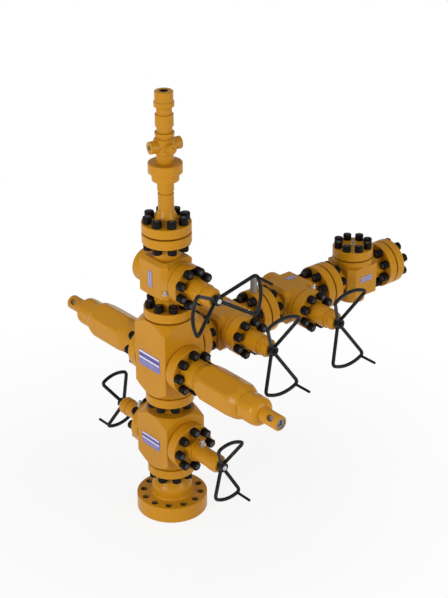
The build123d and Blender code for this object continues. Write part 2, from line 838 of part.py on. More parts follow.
# Bleed body with its four side ports
bleed_start = union_top + bleed_foot_height
bleed_top = bleed_start + bleed_height
bleed_neck_top = bleed_top + bleed_neck_height
tube_start = bleed_neck_top + ring_height
port_z = top_z + bleed_start + port_height
ports = []
for quarter in range(4):
    port_angle = radians(90.0 * quarter - port_turn)
    port_out = (cos(port_angle), sin(port_angle), 0)
    across_wing = quarter % 2 == 0
    ports.append((port_out, cross_port_radius if across_wing else port_radius,
                  cross_port_reach if across_wing else port_reach))
with BuildPart() as bleed_body:
    turn((0, 0, top_z), UP, [
        (0, union_top),
        (bleed_foot_radius, union_top),
        (bleed_foot_radius, bleed_start),
        (bleed_radius - bleed_chamfer, bleed_start),
        (bleed_radius, bleed_start + bleed_chamfer),
        (bleed_radius, bleed_top - bleed_chamfer),
        (bleed_radius - bleed_chamfer, bleed_top),
        (bleed_neck_radius, bleed_top),
        (bleed_neck_radius, bleed_neck_top),
        (ring_radius, bleed_neck_top),
        (ring_radius, tube_start),
        (0, tube_start),
    ])
    for port_out, radius, reach in ports:
        turn((0, 0, port_z), port_out, [
            (0, 0),
            (radius, 0),
            (radius, reach),
            (0, reach),
        ])
        drill(shift((0, 0, port_z), port_out, reach), port_out, plug_radius, port_depth)
save(bleed_body, "bleed_body")

# Tube, collar and crown at the top
collar_start = tube_start + tube_height
stalk_start = collar_start + collar_height
bulge_start = stalk_start + stalk_height
crown_start = bulge_start + bulge_height
crown_top = crown_start + crown_height
with BuildPart() as top_tube:
    turn((0, 0, top_z), UP, [
        (0, tube_start),
        (tube_radius, tube_start),
        (tube_radius, collar_start),
        (collar_radius, collar_start),
        (collar_radius, stalk_start),
        (tube_radius, stalk_start),
        (tube_radius, bulge_start),
        (0, bulge_start),
    ])
save(top_tube, "top_tube")

with BuildPart() as crown:
    turn((0, 0, top_z), UP, [
        (0, bulge_start),
        (tube_radius, bulge_start),
        (bulge_radius, bulge_start + bulge_slope),
        (bulge_radius, crown_start - flange_edge),
        (crown_radius, crown_start),
        (crown_radius, crown_top - flange_edge),
        (crown_radius - flange_edge, crown_top),
        (0, crown_top),
    ])
    drill((0, 0, top_z + crown_top), UP, crown_bore / 2, crown_bore_depth)
save(crown, "crown_coupling")

# Nameplates on the faces that carry them
plate_places = [
    ((-lower_plate_offset, -block_half, lower_axis_z), BACK, lower_plate_width, lower_plate_height),
    ((-ram_plate_offset, -block_half, ram_axis_z + ram_plate_rise), BACK, ram_plate_width, ram_plate_height),
    ((-swab_plate_offset, -valve_half, swab_axis_z), BACK, valve_plate_width, swab_plate_height),
    ((tee_width / 2, tee_y, wing_z + tee_plate_rise), RIGHT, tee_plate_width, tee_plate_height),
]
for valve_y in (first_valve_y, second_valve_y):
    plate_places.append(((-wing_plate_offset, valve_y + wing_plate_shift, wing_z + valve_half), UP,
                         valve_plate_width, wing_plate_length))
with BuildPart() as nameplates:
    for origin, out, width, height in plate_places:
        across = ALONG if out == RIGHT else RIGHT
        with BuildSketch(Plane(origin=origin, x_dir=across, z_dir=out)):
            Rectangle(width, height)
        extrude(amount=plate_thickness)
save(nameplates, "nameplates")


def fitting(seat, out, flats=fitting_hex, flats_height=fitting_hex_height, radius=fitting_radius,
            height=fitting_height):
    """Add a fitting that stands on its seat: a hexagon with a nipple."""
    with BuildSketch(face_plane(seat, out)) as hexagon:
        RegularPolygon(flats / 2, 6, major_radius=False)
    extrude(hexagon.sketch, amount=flats_height)
    turn(seat, out, [(0, 0), (radius, 0), (radius, height), (0, height)])


# Plugs of the side ports, grease fittings and the test fitting
valve_fitting_x = valve_bonnet_seat - valve_seat_height - fitting_hex / 2
test_fitting_y = first_valve_y + valve_length / 2 - raised_face_height - flange_edge - test_fitting_hex / 2
test_fitting_foot = sqrt((flange_od / 2) ** 2 - (test_fitting_hex / 2) ** 2)
neck_foot = sqrt(side_neck_radius ** 2 - bonnet_fitting_hex ** 2 / 2)
neck_rise = side_neck_radius - neck_foot
with BuildPart() as plugs_and_fittings:
    turn((0, test_fitting_y, wing_z), UP, [
        (0, test_fitting_foot),
        (test_fitting_hex / 2, test_fitting_foot),
        (test_fitting_hex / 2, flange_od / 2 + test_fitting_hex_height),
        (test_fitting_radius, flange_od / 2 + test_fitting_hex_height),
        (test_fitting_radius, flange_od / 2 + test_fitting_height),
        (0, flange_od / 2 + test_fitting_height),
    ])
    turn((0, test_fitting_y, wing_z), ALONG, [
        (0, -test_fitting_hex),
        (flange_od / 2 + curved_seat_gap, -test_fitting_hex),
        (flange_od / 2 + curved_seat_gap, test_fitting_hex),
        (0, test_fitting_hex),
    ], mode=Mode.SUBTRACT)
    for port_out, radius, reach in ports:
        turn((0, 0, port_z), port_out, [
            (0, reach - port_depth),
            (plug_radius, reach - port_depth),
            (plug_radius, reach),
            (plug_radius - bleed_chamfer, reach + plug_head),
            (0, reach + plug_head),
        ])
    for out in (RIGHT, LEFT):
        neck_place = shift((0, 0, lower_axis_z + neck_foot), out, side_face + bonnet_fitting_offset)
        fitting(neck_place, UP, bonnet_fitting_hex, bonnet_fitting_hex_height + neck_rise,
                bonnet_fitting_radius, bonnet_fitting_height + neck_rise)
        turn((0, 0, lower_axis_z), out, [
            (0, side_face),
            (side_neck_radius + curved_seat_gap, side_face),
            (side_neck_radius + curved_seat_gap, side_cap_seat),
            (0, side_cap_seat),
        ], mode=Mode.SUBTRACT)
    for valve_y, valve_z, angle in ((0, swab_axis_z, swab_fitting_angle),
                                    (first_valve_y, wing_z, wing_fitting_angle),
                                    (second_valve_y, wing_z, wing_fitting_angle)):
        radial = (0, cos(radians(angle)), sin(radians(angle)))
        fitting(shift((valve_fitting_x, valve_y, valve_z), radial, valve_pad_radius), radial)
    fitting(shift(tee_centre, UP, tee_top_height + tee_cover_thickness), UP)
save(plugs_and_fittings, "plugs_and_fittings")
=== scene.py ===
"""Looks of the wellhead valve stack: finishes, studs and nuts, plate bands, fittings, light and camera.

Everything is in metres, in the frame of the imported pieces: +Z up, +X towards the handwheels of the gate
valves and +Y along the wing.
"""
import math

import bpy
from mathutils import Matrix, Vector


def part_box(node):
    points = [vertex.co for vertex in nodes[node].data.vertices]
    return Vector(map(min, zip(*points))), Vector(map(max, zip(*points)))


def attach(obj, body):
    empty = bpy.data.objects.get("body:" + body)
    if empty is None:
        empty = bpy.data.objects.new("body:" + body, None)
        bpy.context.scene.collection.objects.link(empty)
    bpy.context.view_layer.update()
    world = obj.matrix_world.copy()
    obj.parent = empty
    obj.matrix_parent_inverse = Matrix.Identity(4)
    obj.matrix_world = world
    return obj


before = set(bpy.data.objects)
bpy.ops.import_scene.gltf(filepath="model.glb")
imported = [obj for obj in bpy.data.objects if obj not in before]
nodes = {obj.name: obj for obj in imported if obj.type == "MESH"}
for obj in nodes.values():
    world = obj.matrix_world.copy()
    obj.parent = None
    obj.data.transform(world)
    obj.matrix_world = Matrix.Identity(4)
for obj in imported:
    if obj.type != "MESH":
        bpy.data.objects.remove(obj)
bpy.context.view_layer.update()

UP = Vector((0, 0, 1))
DOWN = Vector((0, 0, -1))
RIGHT = Vector((1, 0, 0))
LEFT = Vector((-1, 0, 0))
ALONG = Vector((0, 1, 0))
BACK = Vector((0, -1, 0))

MM = 0.001
WHITE = (1, 1, 1, 1)

# Camera, fitted to the photograph
PHOTO_HEIGHT = 598
FOCAL_PIXELS = 1595.055
SENSOR = 36.0
CAMERA_PLACE = Vector((5.9945, -4.6278, 5.0615))
CAMERA_AIM = Vector((0.0, 0.3865, 1.1672))
CAMERA_ROLL = math.radians(-0.2336)
CAMERA_FAR = 200

# Lamps (name, place, side, power), sky and floor
OBJECT_MIDDLE = Vector((0, 0.5, 1.0))
LAMPS = (
    ("key", Vector((1.0, -7.0, 2.8)), 3.0, 272),
    ("fill", Vector((6.5, 2.0, 2.6)), 4.0, 165),
    ("top", Vector((-1.0, 0.5, 6.5)), 4.0, 42),
)
SKY_STRENGTH = 0.4
FLOOR_HALF = 40.0
FLOOR_COLOUR = (0.9, 0.9, 0.9, 1)
FLOOR_ROUGHNESS = 0.8
SHADOW_START = 0.8
SHADOW_END = 2.4
WHITE_SHARE_NEAR = 0.85

# Flanges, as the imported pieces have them
RAISED_FACE = 4.5 * MM
FLANGE_THICKNESS = 52.0 * MM
FLANGE_PITCH = 203.2 * MM
FLANGE_BOLTS = 8
LOWER_BONNET_THICKNESS = 58.0 * MM
LOWER_BONNET_PITCH = 209.0 * MM
RAM_BONNET_THICKNESS = 63.0 * MM
RAM_BONNET_PITCH = 211.0 * MM
VALVE_BONNET_THICKNESS = 64.0 * MM
VALVE_BONNET_PITCH = 184.6 * MM
TEE_COVER_PITCH = 182.0 * MM
STRADDLE = 180.0 / FLANGE_BOLTS

# Studs and nuts: across the flats, height, stud radius, length past the nut
NUT_FLATS = 47.5 * MM
NUT_HEIGHT = 36.0 * MM
STUD_RADIUS = 14.5 * MM
STUD_PROUD = 4.5 * MM
BONNET_NUT_FLATS = 46.0 * MM
SMALL_NUT_FLATS = 45.0 * MM
SMALL_NUT_HEIGHT = 34.0 * MM
SMALL_STUD_RADIUS = 12.8 * MM
STUD_PITCH = 3.2 * MM
STUD_BITE = 30.0 * MM
THREAD_DEPTH = 1.1 * MM
THREADED_END = 24.0 * MM
NUT_CORNER_CUT = 1.2 * MM
NUT_WASHER_HEIGHT = 0.8 * MM
NUT_FACE_SHARE = 0.96
NUT_CHAMFER_SLOPE = math.tan(math.radians(30))
NUT_SIDES = 6
SIDE_TURN = 360 // NUT_SIDES
HALF_TURN = SIDE_TURN // 2
SIDE_ANGLES = (-30, -28.5, -24, -12, 0, 12, 24, 28.5)
NUT_TURN = 37
ROW_TURN = 11
ROUND_SEGMENTS = 24
NUT_SLOT, STUD_SLOT = range(2)

# Collar nuts around the feet of the small fittings
COLLAR_FLATS = 26.0 * MM
COLLAR_HEIGHT = 15.0 * MM
COLLAR_BORE = 9.5 * MM
COLLAR_SINK = 1.0 * MM
FITTING_X = 124.5 * MM
VALVE_PAD_RADIUS = 108.0 * MM
SWAB_FITTING_ANGLE = 197.0
WING_FITTING_ANGLE = 56.0

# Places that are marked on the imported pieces
BASE_PITCH = 317.5 * MM
BASE_HOLE = 39.0 * MM
BASE_HOLES = 12
BASE_BORE = 179.4 * MM
CROWN_BORE = 46.0 * MM
END_BORE = 73.0 * MM
LOCK_RECESS = 60.0 * MM
LOCK_SOCKET_DEPTH = 20.0 * MM
LOCK_SLOT_FLOOR = 19.0 * MM
LOCK_SLOT_TILT = 50.0
TEST_FITTING_REACH = 30.0 * MM
MARK_MARGIN = 0.1 * MM

# Nameplates, their bands and rivets
PLATE_THICKNESS = 2.0 * MM
LOWER_PLATE = (153.0 * MM, 68.0 * MM)
RAM_PLATE = (178.0 * MM, 88.0 * MM)
SWAB_PLATE = (36.0 * MM, 92.0 * MM)
TEE_PLATE = (90.0 * MM, 36.0 * MM)
WING_PLATE = (36.0 * MM, 62.0 * MM)
LOWER_PLATE_X = -7.5 * MM
RAM_PLATE_X = -3.0 * MM
RAM_PLATE_RISE = 27.0 * MM
SWAB_PLATE_X = -13.0 * MM
TEE_PLATE_RISE = 15.0 * MM
WING_PLATE_X = -34.0 * MM
WING_PLATE_SHIFT = 36.0 * MM
VALVE_FACE = 105.0 * MM
BAND_THICKNESS = 0.5 * MM
BAND_MARGIN = 2.5 * MM
RIVET_RADIUS = 2.6 * MM
RIVET_HEIGHT = 1.6 * MM
RIVET_INSET = 5.0 * MM
RIVET_SEGMENTS = 16
RIVET_DOME = ((1, -0.3), (1, 0.35), (0.8, 0.75), (0.45, 0.95), (0.15, 1))
PALE_SLOT, DARK_SLOT, LILAC_SLOT, RIVET_SLOT, MAUVE_SLOT = range(5)

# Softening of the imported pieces
SEAM_GAP = 0.01 * MM
PLAIN_ANGLE = math.radians(0.5)
EDGE_ANGLE = math.radians(28)
SHARP_ANGLE = math.radians(32)
EDGE_SEGMENTS = 3
SMALL_EDGE_SEGMENTS = 2
FACE_WEIGHT = 80
SOFT_CAST = 5.0 * MM
SOFT_BODY = 3.0 * MM
SOFT_MACHINED = 1.5 * MM
SOFT_SMALL = 0.6 * MM
SOFT_EDGES = {
    "tee_block": SOFT_CAST,
    "bleed_body": SOFT_BODY,
    "swab_body": SOFT_BODY,
    "wing_inner_body": SOFT_BODY,
    "wing_outer_body": SOFT_BODY,
    "ram_cylinder_right": SOFT_BODY,
    "ram_cylinder_left": SOFT_BODY,
}


def new_material(name):
    """A node material with its Principled shader and an object-space position to build patterns on."""
    material = bpy.data.materials.new(name)
    material.use_nodes = True
    tree = material.node_tree
    shader = tree.nodes["Principled BSDF"]
    place = tree.nodes.new("ShaderNodeTexCoord").outputs["Object"]
    return material, tree, shader, place


def noise(tree, place, scale, detail=3.0, roughness=0.55):
    """A noise value from 0 to 1 that repeats about scale times a metre."""
    node = tree.nodes.new("ShaderNodeTexNoise")
    node.inputs["Scale"].default_value = scale
    node.inputs["Detail"].default_value = detail
    node.inputs["Roughness"].default_value = roughness
    tree.links.new(place, node.inputs["Vector"])
    return node.outputs["Fac"]


def spread(tree, value, low, high, start=0.3, end=0.7):
    """Map a value between start and end to a number between low and high."""
    node = tree.nodes.new("ShaderNodeMapRange")
    node.inputs["From Min"].default_value = start
    node.inputs["From Max"].default_value = end
    node.inputs["To Min"].default_value = low
    node.inputs["To Max"].default_value = high
    tree.links.new(value, node.inputs["Value"])
    return node.outputs["Result"]


def blend_colours(tree, factor, first, second):
    """Mix two colours, or a colour socket and a colour, by a factor."""
    node = tree.nodes.new("ShaderNodeMix")
    node.data_type = "RGBA"
    tree.links.new(factor, node.inputs["Factor"])
    for socket, colour in ((node.inputs[6], first), (node.inputs[7], second)):
        if isinstance(colour, bpy.types.NodeSocket):
            tree.links.new(colour, socket)
        else:
            socket.default_value = (*colour, 1.0)
    return node.outputs[2]


def bump(tree, height, strength, distance, normal=None):
    """Turn a height value into a bumped normal, on top of another one if given."""
    node = tree.nodes.new("ShaderNodeBump")
    node.inputs["Strength"].default_value = strength
    node.inputs["Distance"].default_value = distance
    tree.links.new(height, node.inputs["Height"])
    if normal is not None:
        tree.links.new(normal, node.inputs["Normal"])
    return node.outputs["Normal"]


def convex_edges(tree, place, start, end):
    """1 on convex edges, 0 elsewhere: how convex the surface is, broken up by noise."""
    pointy = tree.nodes.new("ShaderNodeNewGeometry").outputs["Pointiness"]
    broken = tree.nodes.new("ShaderNodeMath")
    broken.operation = "MULTIPLY"
    tree.links.new(spread(tree, pointy, 0.0, 1.0, start, end), broken.inputs[0])
    tree.links.new(spread(tree, noise(tree, place, 60.0, 4.0), 0.0, 1.0, 0.4, 0.6), broken.inputs[1])
    return broken.outputs["Value"]


def paint_material():
    """Orange enamel: slightly uneven colour, edges lighter from wear and a painted highlight, orange peel,
    faint casting swell.
    """
    material, tree, shader, place = new_material("orange_enamel")
    broad = spread(tree, noise(tree, place, 3.0, 2.0), 0.0, 1.0)
    colour = blend_colours(tree, broad, (0.50, 0.216, 0.004), (0.57, 0.250, 0.008))
    dust = spread(tree, noise(tree, place, 45.0, 5.0), 0.0, 0.22, 0.5, 0.75)
    colour = blend_colours(tree, dust, colour, (0.42, 0.19, 0.015))
    # Lighter tan on convex edges: partly worn paint, partly a painted highlight along the edges
    edge_lightening = spread(tree, convex_edges(tree, place, 0.54, 0.66), 0.0, 0.16, 0.0, 1.0)
    colour = blend_colours(tree, edge_lightening, colour, (0.68, 0.36, 0.11))
    tree.links.new(colour, shader.inputs["Base Color"])
    tree.links.new(spread(tree, noise(tree, place, 25.0, 4.0), 0.33, 0.44), shader.inputs["Roughness"])
    swell = bump(tree, noise(tree, place, 14.0, 2.0), 0.2, 1.0 * MM)
    peel = bump(tree, noise(tree, place, 260.0, 2.0), 0.22, 0.4 * MM, swell)
    tree.links.new(peel, shader.inputs["Normal"])
    shader.inputs["Specular IOR Level"].default_value = 0.12
    shader.inputs["Coat Weight"].default_value = 0.22
    shader.inputs["Coat Roughness"].default_value = 0.14
    return material


def wheel_material():
    """Charcoal-black enamel on the handwheels, rubbed brighter where hands turn them."""
    material, tree, shader, place = new_material("black_enamel")
    patch = spread(tree, noise(tree, place, 18.0, 4.0), 0.0, 1.0, 0.35, 0.7)
    colour = blend_colours(tree, patch, (0.004, 0.004, 0.0045), (0.012, 0.012, 0.013))
    tree.links.new(colour, shader.inputs["Base Color"])
    tree.links.new(spread(tree, noise(tree, place, 40.0, 3.0), 0.28, 0.45), shader.inputs["Roughness"])
    tree.links.new(bump(tree, noise(tree, place, 420.0, 2.0), 0.25, 0.3 * MM), shader.inputs["Normal"])
    shader.inputs["Specular IOR Level"].default_value = 0.2
    return material


def nut_material():
    """Black oxide on the nuts: near black, a little lighter at rubbed corners."""
    material, tree, shader, place = new_material("black_oxide")
    patch = spread(tree, noise(tree, place, 90.0, 4.0), 0.0, 1.0, 0.4, 0.65)
    colour = blend_colours(tree, patch, (0.004, 0.003, 0.002), (0.009, 0.007, 0.005))
    edge_lightening = spread(tree, convex_edges(tree, place, 0.55, 0.7), 0.0, 0.6, 0.0, 1.0)
    colour = blend_colours(tree, edge_lightening, colour, (0.025, 0.025, 0.027))
    tree.links.new(colour, shader.inputs["Base Color"])
    tree.links.new(spread(tree, noise(tree, place, 120.0, 3.0), 0.42, 0.58), shader.inputs["Roughness"])
    tree.links.new(bump(tree, noise(tree, place, 600.0, 3.0), 0.2, 0.2 * MM), shader.inputs["Normal"])
    shader.inputs["Specular IOR Level"].default_value = 0.1
    return material


def stud_material():
    """Dark grey plated steel of the studs."""
    material, tree, shader, place = new_material("plated_stud")
    patch = spread(tree, noise(tree, place, 140.0, 4.0), 0.0, 1.0, 0.35, 0.65)
    colour = blend_colours(tree, patch, (0.035, 0.035, 0.042), (0.08, 0.08, 0.095))
    tree.links.new(colour, shader.inputs["Base Color"])
    tree.links.new(spread(tree, noise(tree, place, 200.0, 2.0), 0.32, 0.5), shader.inputs["Roughness"])
    tree.links.new(bump(tree, noise(tree, place, 700.0, 2.0), 0.15, 0.2 * MM), shader.inputs["Normal"])
    shader.inputs["Metallic"].default_value = 0.7
    return material


def steel_material():
    """Bright steel of the fittings and stem caps, with fine turning marks."""
    material, tree, shader, place = new_material("bright_steel")
    patch = spread(tree, noise(tree, place, 70.0, 4.0), 0.0, 1.0, 0.35, 0.65)
    colour = blend_colours(tree, patch, (0.50, 0.49, 0.47), (0.64, 0.63, 0.61))
    tree.links.new(colour, shader.inputs["Base Color"])
    tree.links.new(spread(tree, noise(tree, place, 160.0, 3.0), 0.24, 0.42), shader.inputs["Roughness"])
    tree.links.new(bump(tree, noise(tree, place, 900.0, 2.0), 0.12, 0.1 * MM), shader.inputs["Normal"])
    shader.inputs["Metallic"].default_value = 0.9
    return material


def mottled_material(name, dark, light, gloss):
    """An even colour, faintly mottled: printed plate colours, bare metal, and painted shade."""
    material, tree, shader, place = new_material(name)
    patch = spread(tree, noise(tree, place, 30.0, 3.0), 0.0, 1.0)
    tree.links.new(blend_colours(tree, patch, dark, light), shader.inputs["Base Color"])
    roughness = spread(tree, noise(tree, place, 80.0, 3.0), gloss, gloss + 0.15)
    tree.links.new(roughness, shader.inputs["Roughness"])
    tree.links.new(bump(tree, noise(tree, place, 500.0, 2.0), 0.1, 0.1 * MM), shader.inputs["Normal"])
    return material


PAINT = paint_material()
WHEEL = wheel_material()
NUT = nut_material()
STUD = stud_material()
STEEL = steel_material()
PLATE = mottled_material("plate_blue_print", (0.145, 0.135, 0.45), (0.185, 0.17, 0.52), 0.3)
NAVY = mottled_material("plate_dark_print", (0.065, 0.052, 0.24), (0.09, 0.072, 0.30), 0.3)
LILAC = mottled_material("plate_lilac_print", (0.20, 0.18, 0.34), (0.26, 0.235, 0.40), 0.4)
BAND = mottled_material("plate_pale_print", (0.66, 0.61, 0.80), (0.76, 0.72, 0.87), 0.35)
MAUVE = mottled_material("plate_mauve_print", (0.37, 0.33, 0.45), (0.45, 0.41, 0.54), 0.4)
# Painted shade: near-black brown inside the bore at the top and the bore of the end flange
PAINTED_BORE_SHADE = mottled_material("unlit_steel", (0.035, 0.012, 0.006), (0.055, 0.020, 0.009), 0.5)
# Painted shade: dark brown for the inside of the base's open bolt holes and the ends of the plugs along
# the wing
PAINTED_SHADE_BROWN = mottled_material("painted_shade_enamel", (0.15, 0.09, 0.011), (0.21, 0.13, 0.018), 0.5)
ZINC = mottled_material("grey_zinc", (0.22, 0.205, 0.185), (0.30, 0.285, 0.265), 0.4)


def finish_node(node, material, bevel, segments=EDGE_SEGMENTS):
    """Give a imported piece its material, smooth shading and softened edges."""
    mesh = node.data
    mesh.materials.clear()
    mesh.materials.append(material)
    for polygon in mesh.polygons:
        polygon.use_smooth = True
    weld = node.modifiers.new("join_seams", "WELD")
    weld.merge_threshold = SEAM_GAP
    flat = node.modifiers.new("plain_faces", "DECIMATE")
    flat.decimate_type = "DISSOLVE"
    flat.angle_limit = PLAIN_ANGLE
    flat.delimit = {"MATERIAL"}
    soft = node.modifiers.new("soft_edges", "BEVEL")
    soft.width = bevel
    soft.segments = segments
    soft.limit_method = "ANGLE"
    soft.angle_limit = EDGE_ANGLE
    soft.harden_normals = True
    even = node.modifiers.new("flat_faces", "WEIGHTED_NORMAL")
    even.mode = "FACE_AREA_WITH_ANGLE"
    even.weight = FACE_WEIGHT
    even.keep_sharp = True


def mark(name, material, chosen):
    """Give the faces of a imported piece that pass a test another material."""
    mesh = nodes[name].data
    mesh.materials.append(material)
    for polygon in mesh.polygons:
        if chosen(polygon.center, polygon.normal):
            polygon.material_index = len(mesh.materials) - 1


for name, node in nodes.items():
    if name.endswith("_handwheel"):
        finish_node(node, WHEEL, SOFT_SMALL)
    elif name in ("wing_inner_stem", "wing_outer_stem"):
        finish_node(node, NUT, SOFT_SMALL, SMALL_EDGE_SEGMENTS)
    elif name.endswith("_stem") or name == "plugs_and_fittings":
        finish_node(node, STEEL, SOFT_SMALL, SMALL_EDGE_SEGMENTS)
    elif name == "nameplates":
        finish_node(node, PLATE, SOFT_SMALL, SMALL_EDGE_SEGMENTS)
    else:
        finish_node(node, PAINT, SOFT_EDGES.get(name, SOFT_MACHINED))


class Solids:
    """Collects many small solids of stacked rings and makes one mesh of them."""

    def __init__(self):
        self.points = []
        self.faces = []
        self.slots = []

    def add(self, place, rings, slot=0):
        """Add a closed solid: rings of equal count, capped at both ends."""
        count = len(rings[0])
        first = len(self.points)
        for ring in rings:
            self.points.extend(place @ Vector(point) for point in ring)
        self.faces.append([first + i for i in reversed(range(count))])
        for level in range(len(rings) - 1):
            low = first + level * count
            for i in range(count):
                j = (i + 1) % count
                self.faces.append([low + i, low + j, low + count + j, low + count + i])
        self.faces.append([first + (len(rings) - 1) * count + i for i in range(count)])
        self.slots.extend([slot] * (len(self.faces) - len(self.slots)))

    def make(self, name, materials, body):
        """Make the object, give it its materials and put it on its body."""
        mesh = bpy.data.meshes.new(name)
        mesh.from_pydata([tuple(p) for p in self.points], [], self.faces)
        for material in materials:
            mesh.materials.append(material)
        mesh.polygons.foreach_set("material_index", self.slots)
        mesh.polygons.foreach_set("use_smooth", [True] * len(mesh.polygons))
        mesh.set_sharp_from_angle(angle=SHARP_ANGLE)
        piece = bpy.data.objects.new(name, mesh)
        bpy.context.scene.collection.objects.link(piece)
        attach(piece, body)
        return piece


def seat_matrix(origin, out):
    """A place whose z runs out and whose x is up, or +X where out is vertical."""
    side = RIGHT if abs(out.z) > 0.5 else UP
    across = out.cross(side)
    turned = Matrix((side, across, out)).transposed()
    return Matrix.Translation(origin) @ turned.to_4x4()


def circle_ring(radius, z, segments=ROUND_SEGMENTS):
    """A level ring of points."""
    step = math.tau / segments
    return [(radius * math.cos(i * step), radius * math.sin(i * step), z) for i in range(segments)]


def hex_angles():
    """The angles at which a nut's outline is drawn, closer together at its corners."""
    return [math.radians(side * SIDE_TURN + offset) for side in range(NUT_SIDES) for offset in SIDE_ANGLES]


def hex_reach(angle, flats):
    """How far a nut reaches at an angle, with its corners just cut."""
    offset = (math.degrees(angle) + HALF_TURN) % SIDE_TURN - HALF_TURN
    reach = flats / 2 / math.cos(math.radians(offset))
    return min(reach, flats / 2 / math.cos(math.radians(HALF_TURN)) - NUT_CORNER_CUT)


def nut_rings(flats, height, bore):
    """Rings of a heavy hexagon nut with a washer face and chamfered corners."""
    angles = hex_angles()
    face = flats / 2 * NUT_FACE_SHARE

    def ring(reach, level):
        return [(reach(a) * math.cos(a), reach(a) * math.sin(a), level(a)) for a in angles]

    def hexagon(a):
        return hex_reach(a, flats)

    return [
        ring(lambda a: face, lambda a: 0),
        ring(lambda a: face, lambda a: NUT_WASHER_HEIGHT),
        ring(hexagon, lambda a: NUT_WASHER_HEIGHT + (hexagon(a) - face) * NUT_CHAMFER_SLOPE),
        ring(hexagon, lambda a: height - (hexagon(a) - face) * NUT_CHAMFER_SLOPE),
        ring(lambda a: face, lambda a: height),
        ring(lambda a: bore + THREAD_DEPTH, lambda a: height),
        ring(lambda a: bore - THREAD_DEPTH, lambda a: height - THREAD_DEPTH),
    ]


def threaded(radius, start, end):
    """Rings of a thread from start to end."""
    half = STUD_PITCH / 2
    turns = int((end - start) / STUD_PITCH)
    rings = []
    for i in range(turns):
        rings.append(circle_ring(radius - THREAD_DEPTH, start + i * STUD_PITCH))
        rings.append(circle_ring(radius, start + i * STUD_PITCH + half))
    return rings


def stud_rings(radius, start, end, both):
    """Rings of a stud along z, threaded at its end, or at both ends."""
    tip = 2 * THREAD_DEPTH
    rings = [circle_ring(radius - tip, start), circle_ring(radius, start + tip)]
    if both:
        rings += threaded(radius, start + tip, start + THREADED_END)
        rings.append(circle_ring(radius, start + THREADED_END))
    rings += threaded(radius, end - THREADED_END, end - tip)
    rings += [circle_ring(radius, end - tip), circle_ring(radius - tip, end)]
    return rings


def bolt_row(name, seat, out, pitch, first, nut=(NUT_FLATS, NUT_HEIGHT, STUD_RADIUS), grip=None,
             count=FLANGE_BOLTS, squared=False):
    """A circle of studs whose nuts sit on the seat; with a grip, nuts sit on the far face too.

    Squared nuts turn a flat to the middle of the circle.
    """
    flats, height, radius = nut
    row = Solids()
    back = -grip - height - STUD_PROUD if grip else -STUD_BITE
    for i in range(count):
        angle = math.radians(first + i * 360.0 / count)
        spot = Vector((math.cos(angle), math.sin(angle), 0)) * pitch / 2
        turn = angle if squared else math.radians((i * NUT_TURN + len(name) * ROW_TURN) % SIDE_TURN)
        place = seat_matrix(seat, out) @ Matrix.Translation(spot) @ Matrix.Rotation(turn, 4, "Z")
        row.add(place, nut_rings(flats, height, radius), NUT_SLOT)
        row.add(place, stud_rings(radius, back, height + STUD_PROUD, grip is not None), STUD_SLOT)
        if grip:
            under = place @ Matrix.Translation((0, 0, -grip)) @ Matrix.Rotation(math.pi, 4, "X")
            row.add(under, nut_rings(flats, height, radius), NUT_SLOT)
    return row.make(name, (NUT, STUD), "root")


def low(name):
    """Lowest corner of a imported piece."""
    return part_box(name)[0]


def high(name):
    """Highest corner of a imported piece."""
    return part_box(name)[1]


def middle(name):
    """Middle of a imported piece."""
    return (low(name) + high(name)) / 2


SMALL_NUT = (SMALL_NUT_FLATS, SMALL_NUT_HEIGHT, SMALL_STUD_RADIUS)
BONNET_NUT = (BONNET_NUT_FLATS, NUT_HEIGHT, STUD_RADIUS)
FLANGE_BACK = RAISED_FACE + FLANGE_THICKNESS
wing_z = middle("wing_inner_bonnet").z
lower_axis_z = middle("lower_bonnet_right").z
ram_axis_z = middle("ram_bonnet_right").z
swab_axis_z = middle("swab_bonnet").z
lower_joint_z = low("lower_block").z
ram_joint_z = low("ram_block").z
swab_joint_z = high("ram_block").z
top_joint_z = low("top_adapter").z
inner_joint_y = low("wing_inner_body").y
middle_joint_y = high("wing_inner_body").y
tee_joint_y = high("wing_outer_body").y
end_joint_y = high("tee_block").y
tee_y = middle("tee_cover_flange").y

TWO_FLANGES = 2 * FLANGE_BACK
for row_name, seat, out, grip in (
        ("base_studs", Vector((0, 0, lower_joint_z - FLANGE_BACK)), DOWN, None),
        ("ram_foot_studs", Vector((0, 0, ram_joint_z - FLANGE_BACK)), DOWN, None),
        ("swab_foot_studs", Vector((0, 0, swab_joint_z + FLANGE_BACK)), UP, None),
        ("top_studs", Vector((0, 0, top_joint_z + FLANGE_BACK)), UP, TWO_FLANGES),
        ("wing_root_studs", Vector((0, inner_joint_y + FLANGE_BACK, wing_z)), ALONG, None),
        ("wing_middle_studs", Vector((0, middle_joint_y + FLANGE_BACK, wing_z)), ALONG, TWO_FLANGES),
        ("tee_studs", Vector((0, tee_joint_y + FLANGE_BACK, wing_z)), ALONG, TWO_FLANGES),
        ("wing_end_studs", Vector((0, end_joint_y + FLANGE_BACK, wing_z)), ALONG, TWO_FLANGES)):
    bolt_row(row_name, seat, out, FLANGE_PITCH, STRADDLE, grip=grip)
cover_seat = Vector((0, tee_y, high("tee_cover_flange").z))
bolt_row("tee_cover_studs", cover_seat, UP, TEE_COVER_PITCH, STRADDLE, SMALL_NUT)

for side, out in (("right", RIGHT), ("left", LEFT)):
    for part, axis_z, pitch, thickness in (
            ("lower", lower_axis_z, LOWER_BONNET_PITCH, LOWER_BONNET_THICKNESS),
            ("ram", ram_axis_z, RAM_BONNET_PITCH, RAM_BONNET_THICKNESS)):
        bonnet = part + "_bonnet_" + side
        seat = min(abs(low(bonnet).x), abs(high(bonnet).x)) + thickness
        bolt_row(bonnet + "_studs", out * seat + UP * axis_z, out, pitch, 0, BONNET_NUT, squared=True)

